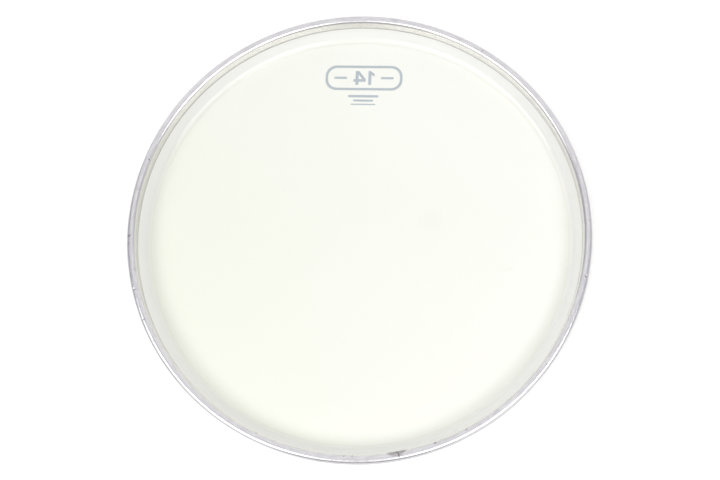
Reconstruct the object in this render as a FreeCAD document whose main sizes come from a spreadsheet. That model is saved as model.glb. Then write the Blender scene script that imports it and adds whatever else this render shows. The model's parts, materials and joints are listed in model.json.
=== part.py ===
"""A drum head lying on its playing face: a film dish whose punched skirt is potted into a channel hoop.

Millimetres. The origin is the centre of the playing face, +Z points out of the open side that goes
over the drum's shell, and +Y points at the place of the printed mark.
"""
import FreeCAD, Part
import math
import os
import Sketcher

doc = FreeCAD.newDocument("drum_head")

# Driving dimensions: alias, value in millimetres (or degrees, or a count), what it is
SIZES = [
    ("hoop_bore_radius", 179.0, "inside of the hoop, over the drum's shell"),
    ("channel_width", 7.0, "bore to the hoop's outside, which goes inside the counterhoop"),
    ("channel_wall", 0.9, "aluminium strip that the channel is rolled from"),
    ("crown_flat", 1.0, "level stretch between the round corners of the channel's closed side"),
    ("crown_height", 22.3, "playing face to the channel's closed side"),
    ("outer_leg_height", 11.2, "closed side to the lip that the counterhoop presses"),
    ("inner_leg_height", 10.8, "closed side to the tip that the film comes out beside"),
    ("seam_angle", -78.5, "degrees from +X to the hoop's welded butt joint"),
    ("seam_drum_radius", 60.0, "sanding drum that dressed the weld on the bore's corner"),
    ("seam_dressing_depth", 0.4, "how far the drum cut into the corner"),
    ("coating_thickness", 0.1, "sprayed coating on the playing face"),
    ("coating_margin", 0.5, "edge of the sprayed coating to where the film starts to bend"),
    ("film_thickness", 0.254, "polyester film"),
    ("bend_radius", 5.0, "bend from the flat into the collar, on the inside"),
    ("tip_clearance", 0.1, "inner leg's corner to the film that passes it"),
    ("skirt_edge_gap", 1.4, "cut edge of the skirt to the inside of the closed side"),
    ("skirt_wall_gap", 1.0, "cut edge of the skirt to the inside of the outer leg"),
    ("lock_slot_length", 6.0, "punched slot that the resin runs through, along the skirt"),
    ("lock_slot_height", 2.4, "the same slot, across the skirt"),
    ("lock_slot_edge", 2.2, "slot to the cut edge of the skirt"),
    ("lock_slot_count", 36, "slots around the skirt"),
    ("resin_recess", 1.1, "lip of the outer leg to the surface of the resin"),
    ("cut_overrun", 1.0, "how far a cutting tool runs past what it cuts"),
]

sheet = doc.addObject("Spreadsheet::Sheet", "sizes")
for row, (alias, value, note) in enumerate(SIZES, start=1):
    sheet.set("A%d" % row, note)
    sheet.set("B%d" % row, str(value))
    sheet.setAlias("B%d" % row, alias)
doc.recompute()

size = {alias: sheet.get(alias) for alias, value, note in SIZES}

# The channel's inside corners are bevelled so that the wall stays even halfway round each bend
BEVEL_SHARE = 2 - math.sqrt(2)

# Radii and heights that several pieces share: the expression on the sheet, and its value today
OUTSIDE = ("(sizes.hoop_bore_radius + sizes.channel_width)",
           size["hoop_bore_radius"] + size["channel_width"])
CORNER = ("((sizes.channel_width - sizes.crown_flat) / 2)", (size["channel_width"] - size["crown_flat"]) / 2)
CHANNEL_INNER = ("(sizes.hoop_bore_radius + sizes.channel_wall)",
                 size["hoop_bore_radius"] + size["channel_wall"])
CHANNEL_OUTER = ("(%s - sizes.channel_wall)" % OUTSIDE[0], OUTSIDE[1] - size["channel_wall"])
CEILING = ("(sizes.crown_height - sizes.channel_wall)", size["crown_height"] - size["channel_wall"])
BEVEL = ("(%.9f * (%s - sizes.channel_wall))" % (BEVEL_SHARE, CORNER[0]),
         BEVEL_SHARE * (CORNER[1] - size["channel_wall"]))
LIP = ("(sizes.crown_height - sizes.outer_leg_height)", size["crown_height"] - size["outer_leg_height"])
TIP = ("(sizes.crown_height - sizes.inner_leg_height)", size["crown_height"] - size["inner_leg_height"])
TIP_RADIUS = (CHANNEL_INNER[0] + " + sizes.tip_clearance", CHANNEL_INNER[1] + size["tip_clearance"])
SKIRT_EDGE = (CEILING[0] + " - sizes.skirt_edge_gap", CEILING[1] - size["skirt_edge_gap"])
SKIRT_RADIUS = (CHANNEL_OUTER[0] + " - sizes.skirt_wall_gap", CHANNEL_OUTER[1] - size["skirt_wall_gap"])
SLOT_TOP = (SKIRT_EDGE[0] + " - sizes.lock_slot_edge", SKIRT_EDGE[1] - size["lock_slot_edge"])
RESIN_LEVEL = (LIP[0] + " + sizes.resin_recess", LIP[1] + size["resin_recess"])

# Sketcher counts an element's points from 1: its start, its end and, on an arc, its centre
START, END, CENTRE = range(1, 4)
# It counts its own axes down from -1: the level one, which starts at the origin, and the upright one
LEVEL_AXIS, UPRIGHT_AXIS = range(-1, -3, -1)
ORIGIN = (LEVEL_AXIS, START)

FULL_TURN = 360


def on_sheet(alias):
    """A driving dimension as an expression and its value today."""
    return ("sizes." + alias, size[alias])


def new_body(name):
    """A body that is one sub-part, named by its label."""
    body = doc.addObject("PartDesign::Body", name)
    body.Label = name
    return body


def origin_feature(body, role):
    """One of the body's own origin planes or axes, found by its role."""
    return next(feature for feature in body.Origin.OriginFeatures if feature.Role == role)


def new_sketch(body, name, plane_role):
    """An empty sketch on one of the body's origin planes."""
    sketch = body.newObject("Sketcher::SketchObject", name)
    sketch.AttachmentSupport = [(origin_feature(body, plane_role), "")]
    sketch.MapMode = "FlatFace"
    return sketch


def point(radius, height):
    """A point of a section sketch."""
    return FreeCAD.Vector(radius, height, 0)


def line(sketch, start, end):
    """A straight stretch of a section, from start to end."""
    return sketch.addGeometry(Part.LineSegment(point(*start), point(*end)), False)


def arc(sketch, centre, radius, start_angle, end_angle):
    """A round stretch of a section, anticlockwise about its centre, angles in radians."""
    circle = Part.Circle(point(*centre), FreeCAD.Vector(0, 0, 1), radius)
    return sketch.addGeometry(Part.ArcOfCircle(circle, start_angle, end_angle), False)


def constrain(sketch, *terms):
    """One geometric constraint."""
    sketch.addConstraint(Sketcher.Constraint(*terms))


def dimension(sketch, name, bound, *terms):
    """One constraint whose value is bound to the sheet."""
    expression, value = bound
    index = sketch.addConstraint(Sketcher.Constraint(*terms, value))
    sketch.renameConstraint(index, name)
    sketch.setExpression("Constraints." + name, expression)


def at_radius(sketch, name, bound, element, which):
    """Holds a point of the section at a radius from the axis."""
    dimension(sketch, name, bound, "DistanceX", *ORIGIN, element, which)


def at_height(sketch, name, bound, element, which):
    """Holds a point of the section at a height above the playing face."""
    dimension(sketch, name, bound, "DistanceY", *ORIGIN, element, which)


def revolve(body, sketch, name):
    """A full turn of the section about the head's axis."""
    turned = body.newObject("PartDesign::Revolution", name)
    turned.Profile = sketch
    turned.ReferenceAxis = (sketch, ["V_Axis"])
    turned.Angle = FULL_TURN
    sketch.Visibility = False
    doc.recompute()
    return turned


def draw_channel_outside(sketch):
    """Draws and binds the hoop's outer skin, from the bore over the round crown to the outer wall."""
    bore, outer = size["hoop_bore_radius"], OUTSIDE[1]
    top, corner = size["crown_height"], CORNER[1]
    shoulder = top - corner
    bore_face = line(sketch, (bore, TIP[1]), (bore, shoulder))
    bore_corner = arc(sketch, (bore + corner, shoulder), corner, math.pi / 2, math.pi)
    crown = line(sketch, (bore + corner, top), (outer - corner, top))
    outer_corner = arc(sketch, (outer - corner, shoulder), corner, 0, math.pi / 2)
    outer_face = line(sketch, (outer, shoulder), (outer, LIP[1]))
    constrain(sketch, "Tangent", bore_face, END, bore_corner, END)
    constrain(sketch, "Tangent", bore_corner, START, crown, START)
    constrain(sketch, "Tangent", crown, END, outer_corner, END)
    constrain(sketch, "Tangent", outer_corner, START, outer_face, START)
    constrain(sketch, "Vertical", bore_face)
    constrain(sketch, "Vertical", outer_face)
    constrain(sketch, "Horizontal", crown)
    constrain(sketch, "Equal", bore_corner, outer_corner)
    at_radius(sketch, "bore", on_sheet("hoop_bore_radius"), bore_face, START)
    at_radius(sketch, "outside", OUTSIDE, outer_face, END)
    at_height(sketch, "crown", on_sheet("crown_height"), crown, START)
    dimension(sketch, "corner", CORNER, "Radius", bore_corner)
    return bore_face, outer_face


def draw_channel_inside(sketch, inner_foot, outer_foot):
    """Draws and binds the channel's inside, from its inner face under the crown to its outer face."""
    inner, outer = CHANNEL_INNER[1], CHANNEL_OUTER[1]
    top, bevel = CEILING[1], BEVEL[1]
    inner_face = line(sketch, (inner, inner_foot), (inner, top - bevel))
    inner_bevel = line(sketch, (inner, top - bevel), (inner + bevel, top))
    ceiling = line(sketch, (inner + bevel, top), (outer - bevel, top))
    outer_bevel = line(sketch, (outer - bevel, top), (outer, top - bevel))
    outer_face = line(sketch, (outer, top - bevel), (outer, outer_foot))
    stretches = (inner_face, inner_bevel, ceiling, outer_bevel, outer_face)
    for first, second in zip(stretches, stretches[1:]):
        constrain(sketch, "Coincident", first, END, second, START)
    constrain(sketch, "Vertical", inner_face)
    constrain(sketch, "Vertical", outer_face)
    constrain(sketch, "Horizontal", ceiling)
    at_radius(sketch, "channel_inner", CHANNEL_INNER, inner_face, START)
    at_radius(sketch, "channel_outer", CHANNEL_OUTER, outer_face, END)
    at_height(sketch, "ceiling", CEILING, ceiling, START)
    dimension(sketch, "inner_bevel_width", BEVEL, "DistanceX", inner_bevel, START, inner_bevel, END)
    dimension(sketch, "inner_bevel_height", BEVEL, "DistanceY", inner_bevel, START, inner_bevel, END)
    dimension(sketch, "outer_bevel_width", BEVEL, "DistanceX", outer_bevel, START, outer_bevel, END)
    dimension(sketch, "outer_bevel_height", BEVEL, "DistanceY", outer_bevel, END, outer_bevel, START)
    return inner_face, outer_face


def close_across(sketch, name, height, first, first_end, second, second_end):
    """Draws a level edge between two upright faces and holds it at a height."""
    start = sketch.getPoint(first, first_end)
    end = sketch.getPoint(second, second_end)
    edge = line(sketch, (start.x, start.y), (end.x, end.y))
    constrain(sketch, "Coincident", edge, START, first, first_end)
    constrain(sketch, "Coincident", edge, END, second, second_end)
    constrain(sketch, "Horizontal", edge)
    at_height(sketch, name, height, edge, START)


# Flesh hoop: a channel with its mouth down, rolled into a ring, butt welded and dressed at its seam
hoop = new_body("flesh_hoop")
hoop_section = new_sketch(hoop, "hoop_section", "XZ_Plane")
bore_face, rim_face = draw_channel_outside(hoop_section)
inner_face, outer_face = draw_channel_inside(hoop_section, TIP[1], LIP[1])
close_across(hoop_section, "tip", TIP, inner_face, START, bore_face, START)
close_across(hoop_section, "lip", LIP, rim_face, END, outer_face, END)
hoop_ring = revolve(hoop, hoop_section, "hoop_ring")

# The dressed seam: a sanding drum that leans halfway over the bore's corner has scooped it
scoop = hoop.newObject("PartDesign::SubtractiveCylinder", "seam_dressing")
scoop.AttachmentSupport = [(origin_feature(hoop, "XY_Plane"), "")]
scoop.MapMode = "ObjectXY"
scoop.setExpression("Radius", "sizes.seam_drum_radius")
scoop.setExpression("Height", "2 * (%s + sizes.cut_overrun)" % CORNER[0])
LEAN_DEGREES = 45
along_drum = FreeCAD.Vector(1, 0, 1).normalize()
toward_drum = FreeCAD.Vector(-1, 0, 1).normalize()
corner_centre = FreeCAD.Vector(size["hoop_bore_radius"] + CORNER[1], 0, size["crown_height"] - CORNER[1])
drum_reach = CORNER[1] - size["seam_dressing_depth"] + size["seam_drum_radius"]
drum_half = CORNER[1] + size["cut_overrun"]
drum_foot = corner_centre + toward_drum * drum_reach - along_drum * drum_half
lean = FreeCAD.Rotation(FreeCAD.Vector(0, 1, 0), LEAN_DEGREES)
turn = FreeCAD.Rotation(FreeCAD.Vector(0, 0, 1), size["seam_angle"])
scoop.AttachmentOffset = FreeCAD.Placement(turn.multVec(drum_foot), turn.multiply(lean))
doc.recompute()
print("seam dressing took off %.2f mm3" % hoop_ring.Shape.cut(hoop.Shape).Volume)

# Film: flat, bend and a straight collar that runs past the inner leg into the channel as a skirt
film_low = size["coating_thickness"]
film_top = film_low + size["film_thickness"]
# The collar passes the tip and ends at the skirt's edge, and the bend is tangent to it and to the flat
slope = math.atan2(SKIRT_EDGE[1] - TIP[1], SKIRT_RADIUS[1] - TIP_RADIUS[1])
bend_height = film_top + size["bend_radius"]
drop = TIP[1] + size["bend_radius"] * math.cos(slope) - bend_height
flat_radius = TIP_RADIUS[1] - drop / math.tan(slope) - size["bend_radius"] * math.sin(slope)
bend_centre = (flat_radius, bend_height)


def bend_end(radius):
    """Where a bend of this radius about the bend's centre runs into the collar."""
    return (bend_centre[0] + radius * math.sin(slope), bend_centre[1] - radius * math.cos(slope))


def collar_end(start):
    """Where a collar face that starts there reaches the cut edge of the skirt."""
    return (start[0] + (SKIRT_EDGE[1] - start[1]) / math.tan(slope), SKIRT_EDGE[1])


film = new_body("film")
film_section = new_sketch(film, "film_section", "XZ_Plane")
outer_bend_radius = size["bend_radius"] + size["film_thickness"]
inside_start = bend_end(size["bend_radius"])
outside_start = bend_end(outer_bend_radius)
bend_span = (-math.pi / 2, slope - math.pi / 2)

inner_flat = line(film_section, (0, film_top), (flat_radius, film_top))
inner_bend = arc(film_section, bend_centre, size["bend_radius"], *bend_span)
inner_collar = line(film_section, inside_start, collar_end(inside_start))
skirt_rim = line(film_section, collar_end(inside_start), collar_end(outside_start))
outer_collar = line(film_section, collar_end(outside_start), outside_start)
outer_bend = arc(film_section, bend_centre, outer_bend_radius, *bend_span)
outer_flat = line(film_section, (flat_radius, film_low), (0, film_low))
axis_edge = line(film_section, (0, film_low), (0, film_top))
tip_mark = film_section.addGeometry(Part.Point(point(TIP_RADIUS[1], TIP[1])), True)

constrain(film_section, "Tangent", inner_flat, END, inner_bend, START)
constrain(film_section, "Tangent", inner_bend, END, inner_collar, START)
constrain(film_section, "Coincident", inner_collar, END, skirt_rim, START)
constrain(film_section, "Coincident", skirt_rim, END, outer_collar, START)
constrain(film_section, "Tangent", outer_collar, END, outer_bend, END)
constrain(film_section, "Tangent", outer_bend, START, outer_flat, START)
constrain(film_section, "Coincident", outer_flat, END, axis_edge, START)
constrain(film_section, "Coincident", axis_edge, END, inner_flat, START)
constrain(film_section, "Coincident", inner_bend, CENTRE, outer_bend, CENTRE)
constrain(film_section, "Parallel", inner_collar, outer_collar)
for level in (inner_flat, skirt_rim, outer_flat):
    constrain(film_section, "Horizontal", level)
constrain(film_section, "PointOnObject", axis_edge, START, UPRIGHT_AXIS)
constrain(film_section, "PointOnObject", axis_edge, END, UPRIGHT_AXIS)
constrain(film_section, "PointOnObject", tip_mark, START, inner_collar)
at_radius(film_section, "tip_radius", TIP_RADIUS, tip_mark, START)
at_height(film_section, "tip_height", TIP, tip_mark, START)
at_height(film_section, "underside", on_sheet("coating_thickness"), axis_edge, START)
dimension(film_section, "thickness", on_sheet("film_thickness"), "DistanceY",
          axis_edge, START, axis_edge, END)
dimension(film_section, "bend", on_sheet("bend_radius"), "Radius", inner_bend)
at_radius(film_section, "skirt_radius", SKIRT_RADIUS, skirt_rim, START)
at_height(film_section, "skirt_edge", SKIRT_EDGE, skirt_rim, START)
# A reference dimension reads off where the flat ends
flat_edge = film_section.addConstraint(
    Sketcher.Constraint("DistanceX", *ORIGIN, inner_flat, END, flat_radius))
film_section.setDriving(flat_edge, False)
film_section.renameConstraint(flat_edge, "flat_edge")
film_dish = revolve(film, film_section, "film_dish")

# Locking slots, punched level through the skirt from the inner leg's side
slot_sketch = new_sketch(film, "lock_slot_outline", "YZ_Plane")
slot_sketch.setExpression("AttachmentOffset.Base.z", CHANNEL_INNER[0])
half_slot = size["lock_slot_length"] / 2
slot_low = SLOT_TOP[1] - size["lock_slot_height"]
slot_corners = [(-half_slot, SLOT_TOP[1]), (half_slot, SLOT_TOP[1]),
                (half_slot, slot_low), (-half_slot, slot_low)]
slot_sides = [line(slot_sketch, corner, following)
              for corner, following in zip(slot_corners, slot_corners[1:] + slot_corners[:1])]
for first, second in zip(slot_sides, slot_sides[1:] + slot_sides[:1]):
    constrain(slot_sketch, "Coincident", first, END, second, START)
slot_top, slot_side, slot_bottom, far_side = slot_sides
constrain(slot_sketch, "Horizontal", slot_bottom)
for upright in (slot_side, far_side):
    constrain(slot_sketch, "Vertical", upright)
constrain(slot_sketch, "Symmetric", slot_top, START, slot_top, END, UPRIGHT_AXIS)
dimension(slot_sketch, "slot_length", on_sheet("lock_slot_length"), "DistanceX",
          slot_top, START, slot_top, END)
dimension(slot_sketch, "slot_height", on_sheet("lock_slot_height"), "DistanceY",
          slot_side, END, slot_side, START)
at_height(slot_sketch, "slot_top", SLOT_TOP, slot_top, START)
lock_slot = film.newObject("PartDesign::Pocket", "lock_slot")
lock_slot.Profile = slot_sketch
lock_slot.Type = "Length"
lock_slot.Reversed = True
lock_slot.setExpression("Length", CHANNEL_OUTER[0] + " - " + CHANNEL_INNER[0])
slot_sketch.Visibility = False
doc.recompute()

lock_slots = film.newObject("PartDesign::PolarPattern", "lock_slots")
lock_slots.Originals = [lock_slot]
lock_slots.Axis = (origin_feature(film, "Z_Axis"), [""])
lock_slots.Angle = FULL_TURN
lock_slots.setExpression("Occurrences", "sizes.lock_slot_count")
film.Tip = lock_slots
doc.recompute()
slugs = film_dish.Shape.cut(film.Shape)
print("collar slope %.1f degrees, flat radius %.2f, %d slugs punched out" % (
    math.degrees(slope), flat_radius, len(slugs.Solids)))

# Potting resin: fills the channel up to its recess, round the skirt and through its slots
fill = new_body("channel_fill")
fill_section = new_sketch(fill, "fill_section", "XZ_Plane")
fill_inner, fill_outer = draw_channel_inside(fill_section, RESIN_LEVEL[1], RESIN_LEVEL[1])
close_across(fill_section, "resin_level", RESIN_LEVEL, fill_outer, END, fill_inner, START)
revolve(fill, fill_section, "fill_ring")

resin = doc.addObject("Part::Cut", "potting_resin")
resin.Label = "potting_resin"
resin.Base = fill
resin.Tool = film

# Coating: the thin sprayed disc that is the playing face
coating = doc.addObject("Part::Cylinder", "coating")
coating.Label = "coating"
coating.setExpression("Radius", "film_section.Constraints.flat_edge - sizes.coating_margin * 1 mm")
coating.setExpression("Height", "sizes.coating_thickness")
doc.recompute()

# Every object of the document is sound before anything is written
for item in doc.Objects:
    if "Invalid" in item.State or "Error" in item.State:
        raise RuntimeError("%s failed: %s" % (item.Name, item.State))

os.makedirs("parts", exist_ok=True)
for piece in (hoop, film, resin, coating):
    shape = piece.Shape
    if shape.isNull() or not shape.isValid():
        raise RuntimeError("%s has no valid shape" % piece.Label)
    shape.exportStep("parts/%s.step" % piece.Label)
    box = shape.optimalBoundingBox(False)
    print("%-14s solids %d  volume %.1f  height %.3f to %.3f  reach %.3f" % (
        piece.Label, len(shape.Solids), shape.Volume, box.ZMin, box.ZMax, box.XMax))
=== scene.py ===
# %% [markdown]
# # A drum head, dressed in Blender
# The head lies on its playing face, with its open side up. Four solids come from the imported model: an
# aluminium hoop, a clear film, the resin that pots the film into the hoop, and a white coating. This
# lesson keeps their sizes and gives them their finish. Everything is in metres, in the model's own
# frame: +Z out of the open side, +Y towards the printed mark.

# %% Load the frame
import json
import math

import bmesh
import bpy
from mathutils import Matrix, Vector


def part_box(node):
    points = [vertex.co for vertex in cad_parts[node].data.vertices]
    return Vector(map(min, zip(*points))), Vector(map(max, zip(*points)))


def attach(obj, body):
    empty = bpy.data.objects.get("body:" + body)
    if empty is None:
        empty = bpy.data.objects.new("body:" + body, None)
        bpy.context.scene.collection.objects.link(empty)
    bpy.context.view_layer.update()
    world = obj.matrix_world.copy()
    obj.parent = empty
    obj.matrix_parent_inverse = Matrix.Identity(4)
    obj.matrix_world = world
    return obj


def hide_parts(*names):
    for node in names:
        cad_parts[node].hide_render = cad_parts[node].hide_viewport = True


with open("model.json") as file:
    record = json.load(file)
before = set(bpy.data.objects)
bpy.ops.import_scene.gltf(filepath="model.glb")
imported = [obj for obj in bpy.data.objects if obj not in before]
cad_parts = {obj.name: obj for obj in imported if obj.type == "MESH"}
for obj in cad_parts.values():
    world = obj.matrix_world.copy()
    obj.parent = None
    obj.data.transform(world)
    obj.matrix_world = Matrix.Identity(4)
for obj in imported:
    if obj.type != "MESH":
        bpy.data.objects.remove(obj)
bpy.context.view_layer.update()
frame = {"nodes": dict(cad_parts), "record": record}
print("solids:", sorted(frame["nodes"]))

# %% [markdown]
# ## The sizes of the section
# A drum head is turned about one axis, so a few radii and heights say all of it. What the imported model
# can tell is asked of it: boxes of nodes, and the radii that the record states. The gauges of the strip
# and of the film can't be read from a box, so they are written here as the maker would order them.

# %% Radii and heights
MM = 0.001
hoop_low, hoop_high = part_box("flesh_hoop")
film_low, film_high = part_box("film")
coating_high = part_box("coating")[1]
mounts = {mount["name"]: mount for mount in frame["record"]["mounts"]}

BORE = mounts["shell_bore"]["dims"]["r_mm"] * MM
OUTSIDE = mounts["rim_outside"]["dims"]["r_mm"] * MM
CROWN = hoop_high.z
LIP = hoop_low.z
WALL = 0.9 * MM
CROWN_FLAT = 1.0 * MM
CORNER = (OUTSIDE - BORE - CROWN_FLAT) / 2
SHOULDER = CROWN - CORNER
INNER_LEG = 10.8 * MM
TIP = CROWN - INNER_LEG

COATING_RADIUS = coating_high.x
COATING_TOP = coating_high.z
COATING_MARGIN = 0.5 * MM
FLAT_RADIUS = COATING_RADIUS + COATING_MARGIN
FILM_THICKNESS = 0.254 * MM
FILM_TOP = film_low.z + FILM_THICKNESS
BEND = 5.0 * MM
SKIRT_EDGE = film_high.z
print("hoop %.1f to %.1f mm, crown at %.1f mm, flat %.2f mm" % (
    BORE / MM, OUTSIDE / MM, CROWN / MM, FLAT_RADIUS / MM))

# %% [markdown]
# ## Node trees as Python
# Materials and Geometry Nodes are both trees of nodes, and dragging links in code hides the idea. One
# function adds a node of any type: its settings first, then its sockets, each a plain value or a wire
# from another node. A wire knows plus, minus, times and so on, so a mask can be written as 1 - mask.

# %% One way to add a node, and wires that do sums


def find_socket(sockets, key):
    """A socket by its number, its identifier or its name."""
    if isinstance(key, int):
        return sockets[key]
    for socket in sockets:
        if socket.identifier == key:
            return socket
    return sockets[key]


def add(tree, kind, settings=None, sockets=None, out=0):
    """Adds a node: settings first, then values or wires for its sockets. Returns a wire from it."""
    node = tree.nodes.new(kind)
    for name, value in (settings or {}).items():
        setattr(node, name, value)
    for key, value in (sockets or {}).items():
        socket = find_socket(node.inputs, key)
        if isinstance(value, Wire):
            tree.links.new(value.socket, socket)
        else:
            socket.default_value = value
    return Wire(tree, find_socket(node.outputs, out)) if len(node.outputs) else node


class Wire:
    """A node's output, with the sums that the finishes need."""

    def __init__(self, tree, socket):
        self.tree = tree
        self.socket = socket

    def output(self, key):
        """Another output of the same node."""
        return Wire(self.tree, find_socket(self.socket.node.outputs, key))

    def math(self, operation, *terms):
        """A Math node on these terms."""
        return add(self.tree, "ShaderNodeMath", {"operation": operation}, dict(enumerate(terms)))

    def __add__(self, other):
        return self.math("ADD", self, other)

    def __radd__(self, other):
        return self.math("ADD", other, self)

    def __sub__(self, other):
        return self.math("SUBTRACT", self, other)

    def __rsub__(self, other):
        return self.math("SUBTRACT", other, self)

    def __mul__(self, other):
        return self.math("MULTIPLY", self, other)

    def __truediv__(self, other):
        return self.math("DIVIDE", self, other)

    def __abs__(self):
        return self.math("ABSOLUTE", self)

    def smooth(self, start, end):
        """0 before start, 1 after end, eased between."""
        settings = {"interpolation_type": "SMOOTHSTEP"}
        sockets = {"Value": self, "From Min": start, "From Max": end}
        return add(self.tree, "ShaderNodeMapRange", settings, sockets)

    def spread(self, low, high):
        """Stretches 0 to 1 over low to high."""
        sockets = {"Value": self, "To Min": low, "To Max": high}
        return add(self.tree, "ShaderNodeMapRange", None, sockets)


print("wires ready")

# %% [markdown]
# The finishes share a few more helpers: an empty material, a blend of two colours, noise, and where a
# point lies. Noise moves about its middle, so what should waver to both sides takes the middle off first.

# %% Helpers for the finishes

NOISE_MIDDLE = 0.5


def new_finish(name):
    """An empty material and its tree."""
    finish = bpy.data.materials.new(name)
    finish.use_nodes = True
    finish.node_tree.nodes.clear()
    return finish, finish.node_tree


def show(tree, shader):
    """Sends a shader to the surface."""
    add(tree, "ShaderNodeOutputMaterial", None, {"Surface": shader})


def blend(tree, share, first, second):
    """A colour that goes from first to second as share goes from 0 to 1."""
    sockets = {"Factor_Float": share, "A_Color": first, "B_Color": second}
    return add(tree, "ShaderNodeMix", {"data_type": "RGBA"}, sockets, "Result_Color")


def cloud(tree, place, scale, detail=2.0, roughness=0.5):
    """Noise between 0 and 1, its scale in cells per metre."""
    sockets = {"Vector": place, "Scale": scale, "Detail": detail, "Roughness": roughness}
    return add(tree, "ShaderNodeTexNoise", None, sockets)


def cells(tree, place, scale):
    """Distance to the nearest of many scattered points, the scale in points per metre."""
    return add(tree, "ShaderNodeTexVoronoi", None, {"Vector": place, "Scale": scale}, "Distance")


def object_place(tree):
    """Object coordinates, which are the model's own metres."""
    return add(tree, "ShaderNodeTexCoord", None, None, "Object")


def parts_of(tree, place):
    """The X, Y and Z of a place or a direction."""
    split = add(tree, "ShaderNodeSeparateXYZ", None, {0: place})
    return split.output("X"), split.output("Y"), split.output("Z")


def distance(x, y):
    """How far two offsets lead together."""
    return x.math("SQRT", x * x + y * y)


def from_axis(tree, place):
    """Distance from the head's axis."""
    x, y, _ = parts_of(tree, place)
    return distance(x, y)


print("node tools ready")

# %% [markdown]
# ## Turning a section
# Hoop and film are both a flat section swept once round the axis. A Screw modifier or a spin would do
# it, but a Geometry Nodes tree keeps the rule in view: a grid has one column for each step round the
# axis and one row for each point of the section, and every grid point is moved to its place. The section
# is the modifier's own mesh, a chain of points at (radius, 0, height). The first and last column, and
# the points on the axis, fall together and are merged, so the skin is closed.

# %% The turning tree

WAVER_SCALE = 2.5
MERGE_DISTANCE = 0.001 * MM


def turning_tree():
    """A tree that turns a chain of section points about Z, with a slight waver in radius."""
    tree = bpy.data.node_groups.new("turned_section", "GeometryNodeTree")
    inputs = (
        ("Section", "NodeSocketGeometry"),
        ("Steps round", "NodeSocketInt"),
        ("Section points", "NodeSocketInt"),
        ("Waver", "NodeSocketFloat"),
        ("Waver seed", "NodeSocketFloat"),
        ("Finish", "NodeSocketMaterial"),
    )
    for name, kind in inputs:
        tree.interface.new_socket(name, in_out="INPUT", socket_type=kind)
    tree.interface.new_socket("Piece", in_out="OUTPUT", socket_type="NodeSocketGeometry")
    given = add(tree, "NodeGroupInput")
    steps = given.output("Steps round")
    rows = given.output("Section points")

    grid_sockets = {"Vertices X": steps + 1, "Vertices Y": rows}
    grid = add(tree, "GeometryNodeMeshGrid", None, grid_sockets)
    index = add(tree, "GeometryNodeInputIndex")
    column = add(tree, "FunctionNodeIntegerMath", {"operation": "DIVIDE_FLOOR"}, {0: index, 1: rows})
    row = add(tree, "FunctionNodeIntegerMath", {"operation": "MODULO"}, {0: index, 1: rows})
    place = add(tree, "GeometryNodeInputPosition")
    sampling = {"Geometry": given.output("Section"), "Value": place, "Index": row}
    section = add(tree, "GeometryNodeSampleIndex", {"data_type": "FLOAT_VECTOR"}, sampling)
    section_radius, _, height = parts_of(tree, section)

    angle = column / steps * math.tau
    cosine = angle.math("COSINE", angle)
    sine = angle.math("SINE", angle)
    seed = given.output("Waver seed")
    round_place = add(tree, "ShaderNodeCombineXYZ", None, {0: cosine, 1: sine, 2: seed})
    waver = (cloud(tree, round_place, WAVER_SCALE) - NOISE_MIDDLE) * given.output("Waver")
    radius = section_radius + waver
    turned_sockets = {0: radius * cosine, 1: radius * sine, 2: height}
    turned = add(tree, "ShaderNodeCombineXYZ", None, turned_sockets)
    moved = add(tree, "GeometryNodeSetPosition", None, {"Geometry": grid, "Position": turned})
    merging = {"Geometry": moved, "Distance": MERGE_DISTANCE}
    merged = add(tree, "GeometryNodeMergeByDistance", None, merging)
    smooth = add(tree, "GeometryNodeSetShadeSmooth", None, {0: merged})
    real = add(tree, "GeometryNodeRealizeInstances", None, {0: smooth})
    dressing = {"Geometry": real, "Material": given.output("Finish")}
    finished = add(tree, "GeometryNodeSetMaterial", None, dressing)
    add(tree, "NodeGroupOutput", None, {"Piece": finished})
    return tree


TURNING = turning_tree()
print("turning tree:", len(TURNING.nodes), "nodes")

# %% [markdown]
# The section itself is drawn with two strokes only: a straight run and an arc. The modifier's inputs are
# set by their identifiers, the result is copied to a plain mesh, and the normals are made to point out.

# %% Strokes of a section, and the turned piece


def arc(centre, radius, start, end, steps):
    """Points along an arc about centre, angles in degrees."""
    angles = [math.radians(start + (end - start) * step / steps) for step in range(steps + 1)]
    return [(centre[0] + radius * math.cos(a), centre[1] + radius * math.sin(a)) for a in angles]


def run(start, end, steps):
    """Points along a straight run, without its end."""
    across, up = end[0] - start[0], end[1] - start[1]
    return [(start[0] + across * step / steps, start[1] + up * step / steps) for step in range(steps)]


def turn(name, section, steps, finish, waver=0.0, waver_seed=0.0):
    """Turns a section about the head's axis and returns the piece."""
    mesh = bpy.data.meshes.new(name)
    edges = [(number, number + 1) for number in range(len(section) - 1)]
    mesh.from_pydata([(radius, 0.0, height) for radius, height in section], edges, [])
    piece = bpy.data.objects.new(name, mesh)
    bpy.context.scene.collection.objects.link(piece)
    modifier = piece.modifiers.new("turning", "NODES")
    modifier.node_group = TURNING
    values = {"Steps round": steps, "Section points": len(section), "Waver": waver,
              "Waver seed": waver_seed, "Finish": finish}
    for item in TURNING.interface.items_tree:
        if item.name in values:
            modifier[item.identifier] = values[item.name]
    evaluated = piece.evaluated_get(bpy.context.evaluated_depsgraph_get())
    solid = bpy.data.meshes.new_from_object(evaluated)
    piece.modifiers.remove(modifier)
    piece.data = solid
    solid.name = name
    point_outwards(solid)
    return piece


def point_outwards(mesh):
    """Turns a closed mesh's faces so that they point out of it."""
    shell = bmesh.new()
    shell.from_mesh(mesh)
    bmesh.ops.recalc_face_normals(shell, faces=shell.faces[:])
    if shell.calc_volume(signed=True) < 0:
        bmesh.ops.reverse_faces(shell, faces=shell.faces[:])
    shell.to_mesh(mesh)
    shell.free()


print("strokes ready")

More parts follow.
